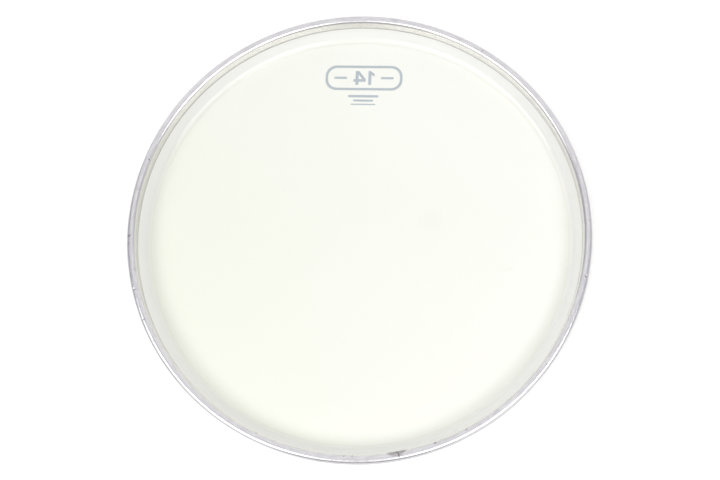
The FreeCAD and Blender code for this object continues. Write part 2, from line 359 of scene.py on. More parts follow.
# %% [markdown]
# ## The hoop's finish: rolled aluminium
# The strip was drawn through rollers, so fine lines and slow streaks run along it, and its skin is a
# mill finish: bright, a little cool, not polished. Handling has left pits and scuffs. The lines follow
# the ring because the noise is read at (angle, radius, height) with the angle squeezed: a brushed-metal
# picture wrapped round the ring would do too, but it would show a join and a scale of its own.

# %% Lines along the strip, pits and scuffs

# A squeeze is how many metres of noise one radian of the ring reads
LINE_SQUEEZE, STREAK_SQUEEZE = 0.006, 0.02
LINE_SCALE, STREAK_SCALE, BROAD_SCALE = 3800.0, 1000.0, 420.0
PIT_SCALE, SCUFF_SCALE = 900.0, 95.0
PIT_LIMITS, SCUFF_LIMITS = (0.63, 0.74), (0.52, 0.72)
PITS_ON_WALL, SCUFFS_ON_WALL = 0.15, 0.1


def ring_place(tree, place):
    """Angle about the axis, radius and height of a point of the hoop."""
    x, y, z = parts_of(tree, place)
    return x.math("ARCTAN2", y, x), distance(x, y), z


def along_strip(tree, ring, squeeze):
    """A place for noise that is drawn out along the strip."""
    angle, radius, z = ring
    return add(tree, "ShaderNodeCombineXYZ", None, {0: angle * squeeze, 1: radius, 2: z})


def strip_lines(tree, ring):
    """Fine roller lines, streaks and broad shades."""
    fine = along_strip(tree, ring, LINE_SQUEEZE)
    slow = along_strip(tree, ring, STREAK_SQUEEZE)
    lines = cloud(tree, fine, LINE_SCALE, detail=3.0, roughness=0.6)
    return lines, cloud(tree, slow, STREAK_SCALE), cloud(tree, slow, BROAD_SCALE)


def strip_wear(tree, place, crown):
    """Pits and scuffs, mostly on the crown."""
    pits = cloud(tree, place, PIT_SCALE).smooth(*PIT_LIMITS)
    scuffs = cloud(tree, place, SCUFF_SCALE, detail=4.0, roughness=0.65).smooth(*SCUFF_LIMITS)
    return pits * crown.spread(PITS_ON_WALL, 1.0), scuffs * crown.spread(SCUFFS_ON_WALL, 1.0)


print("lines per metre:", LINE_SCALE, "pits per metre:", PIT_SCALE)

# %% [markdown]
# The weld was sanded from the bore's side: that left a lens-shaped patch of dull, scratched grey, and
# the joint itself is a dark hairline that hooks to one side. Both are masks, worked out from how far a
# point lies from the seam round the ring and from the bore.

# %% The seam's patch and hairline

SEAM_DEGREES = -78.5
SEAM_HALF_WIDTH = 0.28 * MM
WANDER, WANDER_SCALE = 1.6 * MM, 260.0
PATCH_HALF, PATCH_DEPTH = 8.0 * MM, 4.8 * MM
PATCH_LIMITS = (0.75, 1.05)
PATCH_STRENGTH = 0.85
HOOK_REACH, HOOK_OFFSETS = 2.5 * MM, (0.3 * MM, 1.6 * MM)
HAIRLINE_WANDER_SHARE = 0.4
HAIRLINE_FADE = (BORE + 4.0 * MM, BORE + 5.2 * MM)
HAIRLINE_STRENGTHS = (0.15, 0.9)


def point_mark(tree, name):
    """A value that the mesh holds at each of its points."""
    return add(tree, "ShaderNodeAttribute", {"attribute_name": name}, None, "Fac")


def seam_masks(tree, place, ring, crown):
    """How far the skin is sanded, and the joint's hairline."""
    angle, radius, _ = ring
    cut = point_mark(tree, "dressed")
    wander = (cloud(tree, place, WANDER_SCALE) - NOISE_MIDDLE) * WANDER
    round_ring = (angle - math.radians(SEAM_DEGREES)) * OUTSIDE
    across = abs(round_ring + wander) / PATCH_HALF
    lens = across * across + (radius - BORE) / PATCH_DEPTH
    smear = (1 - lens.smooth(*PATCH_LIMITS)) * crown
    dressed = cut.math("MAXIMUM", cut, smear * PATCH_STRENGTH)
    hook = radius.smooth(BORE, BORE + HOOK_REACH).spread(*HOOK_OFFSETS)
    off_line = abs(round_ring + wander * HAIRLINE_WANDER_SHARE - hook)
    on_line = 1 - off_line.smooth(SEAM_HALF_WIDTH, 2 * SEAM_HALF_WIDTH)
    near_bore = 1 - radius.smooth(*HAIRLINE_FADE)
    return dressed, on_line * near_bore.spread(*HAIRLINE_STRENGTHS)


print("seam at", SEAM_DEGREES, "degrees")

# %% [markdown]
# The colours are laid on in this order: mill skin, scuffs and pits, a painted reflection of the warm white
# film on the bore wall, a painted shade along the gap at the inner leg's tip, darker to the left, the
# sanded patch, dirt in the nicks, and the hairline. Two attributes of the mesh, dressed and nicked, tell
# the finish where the next cells cut and dent the shape.

# %% Rolled aluminium

MILL_DARK, MILL_BRIGHT = (0.67, 0.665, 0.69, 1), (0.86, 0.855, 0.87, 1)
SCUFFED, PITTED = (0.56, 0.55, 0.58, 1), (0.36, 0.35, 0.38, 1)
# Painted reflection of the warm white film on the bore wall, lighter at the bore's corner
WALL_REFLECTION, CORNER_REFLECTION = (0.76, 0.745, 0.72, 1), (0.83, 0.81, 0.765, 1)
# Painted shade in the gap between the inner leg's tip and the film
TIP_GAP_SHADE = (0.22, 0.19, 0.17, 1)
SANDED_DARK, SANDED_BRIGHT = (0.32, 0.31, 0.32, 1), (0.50, 0.48, 0.48, 1)
NICK_DIRT, SEAM_GAP = (0.20, 0.19, 0.20, 1), (0.12, 0.11, 0.11, 1)

CROWN_EASE = 1.0 * MM
# How high the painted shade at the inner leg's tip reaches
TIP_EDGE_FADE = (TIP + 0.7 * MM, TIP + 1.2 * MM)
# How far the painted reflection of the film reaches from the bore, on the wall and on the crown
REFLECTION_FADE, REFLECTION_STRENGTHS = (BORE + 0.2 * MM, BORE + 1.8 * MM), (0.8, 0.65)
# The painted shade at the tip is darker to the left
LEFT_FADE, LEFT_STRENGTHS = (-100.0 * MM, 170.0 * MM), (0.6, 1.0)
MILL_STREAKS, SAND_STREAKS = (0.3, 0.7), (0.35, 0.65)
LINE_SHARE, BROAD_SHARE, STREAK_SHARE = 0.2, 0.3, 0.5
SCUFF_TINT, PIT_TINT, NICK_TINT = 0.35, 0.55, 0.8
MILL_ROUGHNESS = (0.13, 0.21)
SCUFF_ROUGHNESS, SANDED_ROUGHNESS, EDGE_ROUGHNESS = 0.10, 0.25, 0.2
LINE_RELIEF, STREAK_RELIEF, PIT_RELIEF, SEAM_RELIEF = 0.12, 0.6, 0.3, 0.6
SANDED_DULLING = 0.35


def rolled_aluminium():
    """Mill-bright strip, lines, wear, a painted film reflection on the bore, painted tip shade and a
    sanded seam.
    """
    finish, tree = new_finish("hoop_aluminium")
    place = object_place(tree)
    ring = ring_place(tree, place)
    _, radius, z = ring
    crown = z.smooth(SHOULDER - CROWN_EASE, SHOULDER + CROWN_EASE)
    lines, streaks, broad = strip_lines(tree, ring)
    pits, scuffs = strip_wear(tree, place, crown)
    dressed, hairline = seam_masks(tree, place, ring, crown)
    # Painted shade along the inner leg's tip, darker to the left; the same band is also rougher
    tip_edge = (1 - z.smooth(*TIP_EDGE_FADE)) * (1 - radius.smooth(BORE, BORE + WALL))
    to_left = 0 - parts_of(tree, place)[0]
    left_share = to_left.smooth(*LEFT_FADE).spread(*LEFT_STRENGTHS)
    # Painted reflection of the film, strongest on the bore wall
    inside = (1 - radius.smooth(*REFLECTION_FADE)) * crown.spread(*REFLECTION_STRENGTHS)

    grain = lines * LINE_SHARE + broad * BROAD_SHARE + streaks.smooth(*MILL_STREAKS) * STREAK_SHARE
    bright = blend(tree, grain, MILL_DARK, MILL_BRIGHT)
    scuffed = blend(tree, scuffs * SCUFF_TINT, bright, SCUFFED)
    pitted = blend(tree, pits * PIT_TINT, scuffed, PITTED)
    # Painted reflection of the warm white film on the bore
    film_reflection = blend(tree, crown, WALL_REFLECTION, CORNER_REFLECTION)
    reflecting = blend(tree, inside, pitted, film_reflection)
    # Painted shade in the gap at the tip
    tip_shaded = blend(tree, tip_edge * left_share, reflecting, TIP_GAP_SHADE)
    scratched = blend(tree, streaks.smooth(*SAND_STREAKS), SANDED_DARK, SANDED_BRIGHT)
    sanded = blend(tree, dressed, tip_shaded, scratched)
    dirty = blend(tree, point_mark(tree, "nicked") * NICK_TINT, sanded, NICK_DIRT)
    colour = blend(tree, hairline, dirty, SEAM_GAP)

    rough = lines.spread(*MILL_ROUGHNESS) + scuffs * SCUFF_ROUGHNESS + dressed * SANDED_ROUGHNESS
    rougher = rough + (tip_edge + hairline) * EDGE_ROUGHNESS
    raised = lines * LINE_RELIEF + streaks * crown * STREAK_RELIEF
    relief = raised - pits * PIT_RELIEF - hairline * SEAM_RELIEF
    bump = add(tree, "ShaderNodeBump", None, {"Strength": 0.4, "Distance": 0.05 * MM, "Height": relief})
    shader = add(tree, "ShaderNodeBsdfPrincipled", None, {
        "Base Color": colour, "Metallic": 1 - dressed * SANDED_DULLING, "Roughness": rougher,
        "Normal": bump})
    show(tree, shader)
    return finish


ALUMINIUM = rolled_aluminium()
print("finish:", ALUMINIUM.name)

# %% [markdown]
# ## The hoop
# A U-shaped channel with its mouth down: outer wall, rounded crown, bore wall, and inside it the faces
# that hold the resin. The two free edges of the strip are broken by the shear, so they get a small
# round. Turning it, rather than bevelling a pipe, gives every corner its own number of steps.

# %% Turn the hoop

EDGE_ROUND = 0.2 * MM
EDGE_CLEAR = 3 * EDGE_ROUND
HOOP_STEPS = 1440
CROWN_STEPS, WALL_STEPS, EDGE_STEPS, HIDDEN_EDGE_STEPS = 14, 3, 3, 2


def hoop_section():
    """The channel's closed outline as (radius, height), from the lip over the crown and back inside."""
    inner, outer, ceiling = BORE + WALL, OUTSIDE - WALL, CROWN - WALL
    lip, tip = LIP + EDGE_ROUND, TIP + EDGE_ROUND
    points = arc((OUTSIDE - EDGE_ROUND, lip), EDGE_ROUND, -90, 0, EDGE_STEPS)
    points += run((OUTSIDE, LIP + EDGE_CLEAR), (OUTSIDE, SHOULDER), WALL_STEPS)
    points += arc((OUTSIDE - CORNER, SHOULDER), CORNER, 0, 90, CROWN_STEPS)
    points += arc((BORE + CORNER, SHOULDER), CORNER, 90, 180, CROWN_STEPS)
    points += run((BORE, SHOULDER - EDGE_CLEAR), (BORE, tip), WALL_STEPS)
    points += arc((BORE + EDGE_ROUND, tip), EDGE_ROUND, 180, 270, EDGE_STEPS)
    points += arc((inner - EDGE_ROUND, tip), EDGE_ROUND, 270, 360, HIDDEN_EDGE_STEPS)
    points += [(inner, ceiling), (outer, ceiling)]
    points += arc((outer + EDGE_ROUND, lip), EDGE_ROUND, 180, 270, HIDDEN_EDGE_STEPS)
    return points + points[:1]


hoop = turn("hoop", hoop_section(), HOOP_STEPS, ALUMINIUM, waver=0.10 * MM, waver_seed=3.0)
print("hoop:", len(hoop.data.polygons), "faces")

# %% [markdown]
# After turning, the seam is dressed the way it was in the workshop, by a sanding drum that leans over
# the bore's corner: every point inside the drum is pushed out to the drum's surface. A boolean would cut
# the same scoop, but it would break up the even rows of faces.

# %% Dress the seam

DRUM_RADIUS = 60.0 * MM
DRESSING_DEPTH = 0.4 * MM
DRESSING_REACH = 4 * CORNER
FULL_MARK_DEPTH = 0.12 * MM


def dress_seam(mesh):
    """Pushes the bore's corner out of the sanding drum and marks where it cut."""
    turn_to_seam = Matrix.Rotation(math.radians(SEAM_DEGREES), 3, "Z")
    along = turn_to_seam @ Vector((1, 0, 1)).normalized()
    toward = turn_to_seam @ Vector((-1, 0, 1)).normalized()
    corner = turn_to_seam @ Vector((BORE + CORNER, 0, SHOULDER))
    middle = corner + toward * (CORNER - DRESSING_DEPTH + DRUM_RADIUS)
    marks = mesh.attributes.new("dressed", "FLOAT", "POINT")
    count = 0
    for vertex, mark in zip(mesh.vertices, marks.data):
        offset = vertex.co - middle
        offset -= along * offset.dot(along)
        depth = DRUM_RADIUS - offset.length
        near = (vertex.co - corner).length < DRESSING_REACH
        if near and depth > 0:
            vertex.co += offset.normalized() * depth
            mark.value = min(1.0, depth / FULL_MARK_DEPTH)
            count += 1
    return count


print("dressed points:", dress_seam(hoop.data))

# %% [markdown]
# Nicks from handling are pressed in last. Each one is a small round dent in one of the crown's two
# corners: points within its reach are moved inwards, most in the middle, and marked so that dirt shows.

# %% Press in the nicks

# Each nick: degrees clockwise from +Y, lean from the crown outwards in degrees, reach and depth
NICKS = (
    (266.0, 20.0, 1.5 * MM, 0.35 * MM),
    (264.0, 25.0, 1.0 * MM, 0.16 * MM),
    (252.0, 5.0, 0.9 * MM, 0.18 * MM),
    (244.0, 5.0, 1.0 * MM, 0.20 * MM),
    (238.0, 5.0, 0.9 * MM, 0.18 * MM),
    (287.0, -20.0, 1.1 * MM, 0.20 * MM),
    (203.0, -50.0, 0.9 * MM, 0.16 * MM),
    (181.0, -40.0, 0.9 * MM, 0.20 * MM),
    (179.0, -45.0, 0.8 * MM, 0.16 * MM),
    (159.0, -35.0, 1.4 * MM, 0.18 * MM),
    (151.0, -30.0, 1.0 * MM, 0.20 * MM),
    (126.0, 5.0, 0.8 * MM, 0.14 * MM),
    (102.0, 10.0, 1.3 * MM, 0.22 * MM),
    (33.0, 5.0, 0.9 * MM, 0.16 * MM),
)


def outwards_at(clockwise):
    """The level direction at a bearing, in degrees clockwise from +Y as seen from above."""
    bearing = math.radians(clockwise)
    return Vector((math.sin(bearing), math.cos(bearing), 0))


def press_nicks(mesh):
    """Presses small dents into the crown's corners and marks the dirt in them."""
    dirt = mesh.attributes.new("nicked", "FLOAT", "POINT")
    for clockwise, lean, reach, depth in NICKS:
        tilt = math.radians(lean)
        centre_radius = OUTSIDE - CORNER if lean > 0 else BORE + CORNER
        outwards = outwards_at(clockwise)
        normal = outwards * math.sin(tilt) + Vector((0, 0, math.cos(tilt)))
        spot = outwards * centre_radius + Vector((0, 0, SHOULDER)) + normal * CORNER
        for vertex in mesh.vertices:
            gap = (vertex.co - spot).length
            if gap < reach:
                share = (1 - (gap / reach) ** 2) ** 2
                vertex.co -= normal * (depth * share)
                dirt.data[vertex.index].value = share


press_nicks(hoop.data)
print("nicks:", len(NICKS))

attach(hoop, "root")
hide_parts("flesh_hoop")

# %% [markdown]
# ## The film's finish: clear polyester
# The film is a quarter of a millimetre thick, so it hardly bends what is seen through it. Glass with
# real refraction would cost noise and dark shadows for nothing. Here a Transparent shader lets sight and
# lamps through the flat, where the coating lies right under it. The coat was sprayed over the bend too
# and thins out up the collar, so from the bend outwards the film has a milky body, a little see-through.
# The milk carries a painted shade of the rim where the bend leaves the flat, and is lighter up the collar.
# A gloss is laid over both by Fresnel. Only the face that meets the eye first is milky and glossy: the
# other one is met from inside.

# %% Painted light across the coat

# Colours of the painted shadow of the rim, at the coat's edge and the bend, lighter to the right
RIM_SHADE_LEFT, RIM_SHADE_RIGHT = (0.884, 0.897, 0.811, 1), (0.918, 0.923, 0.868, 1)
# Painted light is also lighter towards the mark
LIGHTER_TO_MARK = 0.6


def light_share(tree, place):
    """Painted light across the head, from 0 up: lighter to the right and towards the mark."""
    x, y, _ = parts_of(tree, place)
    to_right = x.smooth(-COATING_RADIUS, COATING_RADIUS)
    to_mark = y.smooth(0.0, COATING_RADIUS)
    return to_right + to_mark * LIGHTER_TO_MARK


def rim_shade(tree, place):
    """The colour of the painted rim shadow at the coat's edge and the bend, lighter to the right."""
    return blend(tree, light_share(tree, place), RIM_SHADE_LEFT, RIM_SHADE_RIGHT)


# The painted rim shadow's colours
print("thin coat:", RIM_SHADE_LEFT[:3], "to", RIM_SHADE_RIGHT[:3])

# %% Clear polyester film

WHITE = (1, 1, 1, 1)
CLEAR_TINT = (0.998, 0.999, 0.996, 1)
COLLAR_MILK = (0.955, 0.960, 0.926, 1)
MILK_START = (COATING_RADIUS - 0.34 * MM, COATING_RADIUS - 0.28 * MM)
MILK_STRENGTHS = (1.0, 0.8)
RIPPLE_SCALE = 18.0


def clear_film():
    """Clear film: see-through on the flat, milky from the bend outwards with a painted shade at the bend,
    glossy by Fresnel.
    """
    finish, tree = new_finish("clear_film")
    place = object_place(tree)
    radius = from_axis(tree, place)
    formed = radius.smooth(*MILK_START)
    risen = radius.smooth(FLAT_RADIUS, FLAT_RADIUS + BEND)
    ripple = cloud(tree, place, RIPPLE_SCALE, detail=1.0)
    bump = add(tree, "ShaderNodeBump", None, {"Strength": 0.02, "Distance": 1.0 * MM, "Height": ripple})
    clear = add(tree, "ShaderNodeBsdfTransparent", None, {"Color": CLEAR_TINT})
    # Painted shade: the milk is darkest where the bend leaves the flat and lighter up the collar
    milk_and_bend_shade = blend(tree, risen, rim_shade(tree, place), COLLAR_MILK)
    haze = add(tree, "ShaderNodeBsdfPrincipled", None, {
        "Base Color": milk_and_bend_shade, "Roughness": 0.6, "Specular IOR Level": 0.0, "Normal": bump})
    front = 1 - add(tree, "ShaderNodeNewGeometry", None, None, "Backfacing")
    milky = front * formed * risen.spread(*MILK_STRENGTHS)
    body = add(tree, "ShaderNodeMixShader", None, {0: milky, 1: clear, 2: haze})
    gloss = add(tree, "ShaderNodeBsdfAnisotropic", None, {
        "Color": WHITE, "Roughness": 0.03, "Normal": bump})
    mirror = add(tree, "ShaderNodeFresnel", None, {"IOR": 1.63, "Normal": bump})
    shader = add(tree, "ShaderNodeMixShader", None, {0: mirror * front, 1: body, 2: gloss})
    show(tree, shader)
    return finish


CLEAR_FILM = clear_film()
print("finish:", CLEAR_FILM.name)

# %% [markdown]
# ## The film
# Flat, a round bend, and a straight collar that slips past the inner leg into the channel. The collar's
# slope isn't typed: the bend is tangent to the flat and to the collar, and the collar ends where the
# packed film does. Its lower face stays a hair above the coating, because two faces in one place would
# flicker.

# %% Turn the film

FILM_STEPS = 720
BEND_STEPS, FLAT_STEPS, COLLAR_STEPS = 18, 8, 4
CONTACT_GAP = 0.03 * MM


def collar_slope():
    """The collar's angle from the flat, from its far edge and the bend it leaves."""
    across = film_high.x - FLAT_RADIUS
    rise = SKIRT_EDGE - (FILM_TOP + BEND)
    reach = math.hypot(across, rise)
    return math.atan2(rise, across) + math.asin((BEND + FILM_THICKNESS) / reach)


SLOPE = collar_slope()


def collar_end(start):
    """Where a collar face that starts there reaches the cut edge of the skirt."""
    return (start[0] + (SKIRT_EDGE - start[1]) / math.tan(SLOPE), SKIRT_EDGE)


def film_section():
    """The film's closed outline as (radius, height): inside face to the skirt, outside face back."""
    centre = (FLAT_RADIUS, FILM_TOP + BEND)
    under = COATING_TOP + CONTACT_GAP
    bend_end = math.degrees(SLOPE) - 90
    inside = arc(centre, BEND, -90, bend_end, BEND_STEPS)
    outside = arc(centre, BEND + FILM_THICKNESS - CONTACT_GAP, bend_end, -90, BEND_STEPS)
    points = run((0, FILM_TOP), (FLAT_RADIUS, FILM_TOP), FLAT_STEPS)
    points += inside
    points += run(inside[-1], collar_end(inside[-1]), COLLAR_STEPS)[1:] + [collar_end(inside[-1])]
    points += run(collar_end(outside[0]), outside[0], COLLAR_STEPS)
    points += outside
    points += run((FLAT_RADIUS, under), (0, under), FLAT_STEPS)[1:] + [(0, under)]
    return points


film = turn("film_sheet", film_section(), FILM_STEPS, CLEAR_FILM)
print("film:", len(film.data.polygons), "faces, collar slope %.1f degrees" % math.degrees(SLOPE))

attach(film, "root")
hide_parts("film")

# %% [markdown]
# ## The coating
# A matte white coat was sprayed on the playing face. It is seen through the film, so it gives the whole
# head its colour: warm white with a breath of green-yellow, and painted light makes it lighter to the
# right and towards the mark. The imported disc has the right shape, so it stays and only gets a finish. A
# hair caught in the wet coat and a faint round stain come first, as masks.

# %% A stain and a hair

STAIN_PLACE = (58.9 * MM, 11.2 * MM)
STAIN_CORE, STAIN_RADIUS = 6.5 * MM, 13.0 * MM
HAIR_PLACE = (121.0 * MM, -28.6 * MM)
HAIR_TAPER, HAIR_HALF_LENGTH = 3.87 * MM, 4.3 * MM
HAIR_CURVE, HAIR_LEAN = 75.0, 0.18
HAIR_EDGE = (0.25 * MM, 0.6 * MM)


def stain_mask(tree, place):
    """The round stain, 1 in its middle."""
    x, y, _ = parts_of(tree, place)
    off_middle = distance(x - STAIN_PLACE[0], y - STAIN_PLACE[1])
    return 1 - off_middle.smooth(STAIN_CORE, STAIN_RADIUS)


def hair_mask(tree, place):
    """The short curved hair, 1 along it."""
    x, y, _ = parts_of(tree, place)
    along, up = x - HAIR_PLACE[0], y - HAIR_PLACE[1]
    off_hair = abs(up - along * along * HAIR_CURVE - along * HAIR_LEAN)
    beyond_ends = abs(along).smooth(HAIR_TAPER, HAIR_HALF_LENGTH)
    return (1 - off_hair.smooth(*HAIR_EDGE)) * (1 - beyond_ends)


print("hair: %.1f mm long" % (2 * HAIR_HALF_LENGTH / MM))

# %% [markdown]
# Under those marks lies the spray itself: a fine pebble that the light catches, a grain, a slow mottle
# and a few specks of dust. Away from the mark a painted shadow of the rim darkens the coat towards its
# edge.

# %% Sprayed coating

# The coat's two tones: painted light goes from the first to the second, with a random mottle as well
COAT_SHADED, COAT_LIT = (0.887, 0.900, 0.814, 1), (0.952, 0.957, 0.914, 1)
GRAIN_COLOUR, STAIN_COLOUR = (0.90, 0.91, 0.85, 1), (0.84, 0.87, 0.80, 1)
DUST = (0.72, 0.73, 0.66, 1)
GRAIN_TINT, STAIN_TINT, HAIR_TINT, SPECK_TINT = 0.25, 0.12, 0.22, 0.15
MOTTLE_SCALE, GRAIN_SCALE, PEBBLE_SCALE, SPECK_SCALE = 9.0, 420.0, 1500.0, 80.0
MOTTLE_SHARE = 0.2
SPECK_LIMITS = (0.015, 0.04)
# Width of the painted shadow of the rim, and its fade away from the mark
RIM_SHADE_WIDTH = 10.0 * MM
RIM_SHADE_FADE = (-0.3 * COATING_RADIUS, 0.5 * COATING_RADIUS)
GRAIN_RELIEF = 0.5
COAT_ROUGHNESS = (0.55, 0.75)


def sprayed_coating():
    """Matte sprayed white: fine pebble, slow mottle, specks, a hair, a faint stain, painted light and rim
    shadow.
    """
    finish, tree = new_finish("white_coating")
    place = object_place(tree)
    specks = 1 - cells(tree, place, SPECK_SCALE).smooth(*SPECK_LIMITS)
    mottle = cloud(tree, place, MOTTLE_SCALE, detail=3.0, roughness=0.55)
    pebble = cloud(tree, place, PEBBLE_SCALE, detail=3.0, roughness=0.6)
    grain = cloud(tree, place, GRAIN_SCALE)
    # Painted light, lighter to the right and towards the mark, with a random mottle on top
    light_and_mottle = light_share(tree, place) * (1 - MOTTLE_SHARE) + mottle * MOTTLE_SHARE
    even = blend(tree, light_and_mottle, COAT_SHADED, COAT_LIT)
    # Painted shadow of the rim along the coat's edge, strongest away from the mark
    edge = from_axis(tree, place).smooth(COATING_RADIUS - RIM_SHADE_WIDTH, COATING_RADIUS)
    away = 1 - parts_of(tree, place)[1].smooth(*RIM_SHADE_FADE)
    rim_shaded = blend(tree, edge * away, even, rim_shade(tree, place))
    grained = blend(tree, grain * GRAIN_TINT, rim_shaded, GRAIN_COLOUR)
    stained = blend(tree, stain_mask(tree, place) * STAIN_TINT, grained, STAIN_COLOUR)
    dusty = hair_mask(tree, place) * HAIR_TINT + specks * SPECK_TINT
    colour = blend(tree, dusty, stained, DUST)
    bump = add(tree, "ShaderNodeBump", None, {
        "Strength": 0.35, "Distance": 0.06 * MM, "Height": pebble + grain * GRAIN_RELIEF})
    shader = add(tree, "ShaderNodeBsdfPrincipled", None, {
        "Base Color": colour, "Roughness": pebble.spread(*COAT_ROUGHNESS), "Specular IOR Level": 0.2,
        "Normal": bump})
    show(tree, shader)
    return finish


def give_finish(node_name, finish):
    """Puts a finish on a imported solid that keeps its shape."""
    materials = frame["nodes"][node_name].data.materials
    materials.clear()
    materials.append(finish)


COATING = sprayed_coating()
give_finish("coating", COATING)
print("finish:", COATING.name)

# %% [markdown]
# ## The potting resin
# It fills the channel and shows only at the mouth, under the hoop. It was poured and set, so it is
# smooth and amber, with a slow swirl and a few bubbles near its skin. Bubbles as real hollows would cost
# faces that nobody sees, so they are pale spots with a little relief.

# %% Potting resin

AMBER_DARK, AMBER_PALE = (0.52, 0.44, 0.30, 1), (0.68, 0.61, 0.47, 1)
BUBBLE_COLOUR = (0.78, 0.74, 0.64, 1)
SWIRL_SCALE, BUBBLE_SCALE = 60.0, 520.0
BUBBLE_LIMITS = (0.10, 0.22)
BUBBLE_TINT, BUBBLE_RELIEF = 0.5, 0.4
RESIN_ROUGHNESS = (0.18, 0.34)


def potting_resin():
    """Set amber resin with a swirl and small bubbles."""
    finish, tree = new_finish("amber_resin")
    place = object_place(tree)
    swirl = cloud(tree, place, SWIRL_SCALE, detail=3.0)
    bubbles = 1 - cells(tree, place, BUBBLE_SCALE).smooth(*BUBBLE_LIMITS)
    amber = blend(tree, swirl, AMBER_DARK, AMBER_PALE)
    colour = blend(tree, bubbles * BUBBLE_TINT, amber, BUBBLE_COLOUR)
    bump = add(tree, "ShaderNodeBump", None, {
        "Strength": 0.2, "Distance": 0.2 * MM, "Height": swirl - bubbles * BUBBLE_RELIEF})
    shader = add(tree, "ShaderNodeBsdfPrincipled", None, {
        "Base Color": colour, "Roughness": swirl.spread(*RESIN_ROUGHNESS), "Normal": bump})
    show(tree, shader)
    return finish


RESIN = potting_resin()
give_finish("potting_resin", RESIN)
print("finish:", RESIN.name)

# %% [markdown]
# ## The printed mark
# A plain size mark stands where such heads are printed: a rounded frame round the number of inches
# across, and three short rules under it. It is printed on the playing side, so from this side it is seen
# mirrored through the film, pale and bluish. A text object could give the numerals, but fattened letters
# make faces that overlap. These shapes are a few flat outlines, so bmesh makes them directly, and one
# extrusion gives the ink its thickness.

# %% Shapes of the mark

# The numerals' corners in millimetres: the one, then the four's bar, foot, slant and stem
NUMERAL_MIDDLE = (9.0, 6.5)
NUMERAL_FACES = (
    ((2.6, 0), (5.2, 0), (5.2, 13), (3.2, 13), (0, 10.4), (0, 7.6), (2.6, 9.6)),
    ((7.4, 3), (13.6, 3), (16.2, 3), (18, 3), (18, 5.4),
     (16.2, 5.4), (13.6, 5.4), (10.4, 5.4), (7.4, 5.4)),
    ((13.6, 0), (16.2, 0), (16.2, 3), (13.6, 3)),
    ((7.4, 5.4), (10.4, 5.4), (13.6, 9.6), (13.2, 13)),
    ((13.6, 5.4), (16.2, 5.4), (16.2, 13), (13.2, 13), (13.6, 9.6)),
)
RULE_CORNER_SHARE, FRAME_CORNER_SHARE = 0.49, 0.42
CORNER_STEPS = 10


def rounded_outline(width, height, radius):
    """Corner points of a rounded rectangle about the origin, anticlockwise."""
    points = []
    for side_x, side_y, start in ((1, 1, 0), (-1, 1, 90), (-1, -1, 180), (1, -1, 270)):
        centre = (side_x * (width / 2 - radius), side_y * (height / 2 - radius))
        points += arc(centre, radius, start, start + 90, CORNER_STEPS)
    return points


def add_loop(ink, width, height, corner_share, middle):
    """The points of a rounded rectangle about its middle."""
    outline = rounded_outline(width, height, height * corner_share)
    return [ink.verts.new((middle[0] + x, middle[1] + y, 0)) for x, y in outline]


def add_rule(ink, width, height, middle):
    """One filled rule with round ends."""
    ink.faces.new(add_loop(ink, width, height, RULE_CORNER_SHARE, middle))


def add_frame(ink, size, stroke, middle):
    """A rounded frame: a band between two outlines."""
    outer, inner = [add_loop(ink, size[0] - 2 * inset, size[1] - 2 * inset, FRAME_CORNER_SHARE, middle)
                    for inset in (0, stroke)]
    for number in range(len(outer)):
        following = (number + 1) % len(outer)
        ink.faces.new((outer[number], outer[following], inner[following], inner[number]))


def add_numerals(ink, middle):
    """One and four, mirrored, since they are seen from behind."""
    corners = {}

    def corner(x, y):
        if (x, y) not in corners:
            across = middle[0] - (x - NUMERAL_MIDDLE[0]) * MM
            up = middle[1] + (y - NUMERAL_MIDDLE[1]) * MM
            corners[x, y] = ink.verts.new((across, up, 0))
        return corners[x, y]

    for outline in NUMERAL_FACES:
        ink.faces.new([corner(x, y) for x, y in outline])


print("numeral faces:", len(NUMERAL_FACES))

# %% [markdown]
# The ink is thin, so the coat's pebble shows through as a grain. All the shapes go into one mesh, which
# is raised into one closed layer that floats a few microns over the coating.

# %% Print the mark

INK_DARK, INK_PALE = (0.42, 0.47, 0.53, 1), (0.55, 0.60, 0.65, 1)
INK_GRAIN_SCALE, INK_SHADE_SCALE = 700.0, 60.0
INK_GRAIN_SHARE = 0.6
INK_ROUGHNESS = (0.5, 0.7)
INK_GAP, INK_THICKNESS = 0.004 * MM, 0.016 * MM
MARK_MIDDLE = (0.0, 138.0 * MM)
FRAME_SIZE = (66.0 * MM, 23.0 * MM)
FRAME_STROKE = 2.2 * MM
SIDE_RULE_SIZE, SIDE_RULE_AWAY = (11.0 * MM, 2.0 * MM), 20.0 * MM
# Each rule under the frame: width, height and drop below the frame's middle
LOWER_RULES = (
    (26.0 * MM, 2.2 * MM, 17.0 * MM),
    (17.0 * MM, 1.8 * MM, 21.0 * MM),
    (21.0 * MM, 1.2 * MM, 24.5 * MM),
)


def mark_ink():
    """Thin pale ink, a little uneven where the coat's pebble shows through."""
    finish, tree = new_finish("mark_ink")
    place = object_place(tree)
    grain = cloud(tree, place, INK_GRAIN_SCALE, detail=3.0)
    shade = cloud(tree, place, INK_SHADE_SCALE)
    uneven = grain * INK_GRAIN_SHARE + shade * (1 - INK_GRAIN_SHARE)
    colour = blend(tree, uneven, INK_DARK, INK_PALE)
    bump = add(tree, "ShaderNodeBump", None, {"Strength": 0.2, "Distance": 0.04 * MM, "Height": grain})
    shader = add(tree, "ShaderNodeBsdfPrincipled", None, {
        "Base Color": colour, "Roughness": grain.spread(*INK_ROUGHNESS), "Specular IOR Level": 0.2,
        "Normal": bump})
    show(tree, shader)
    return finish


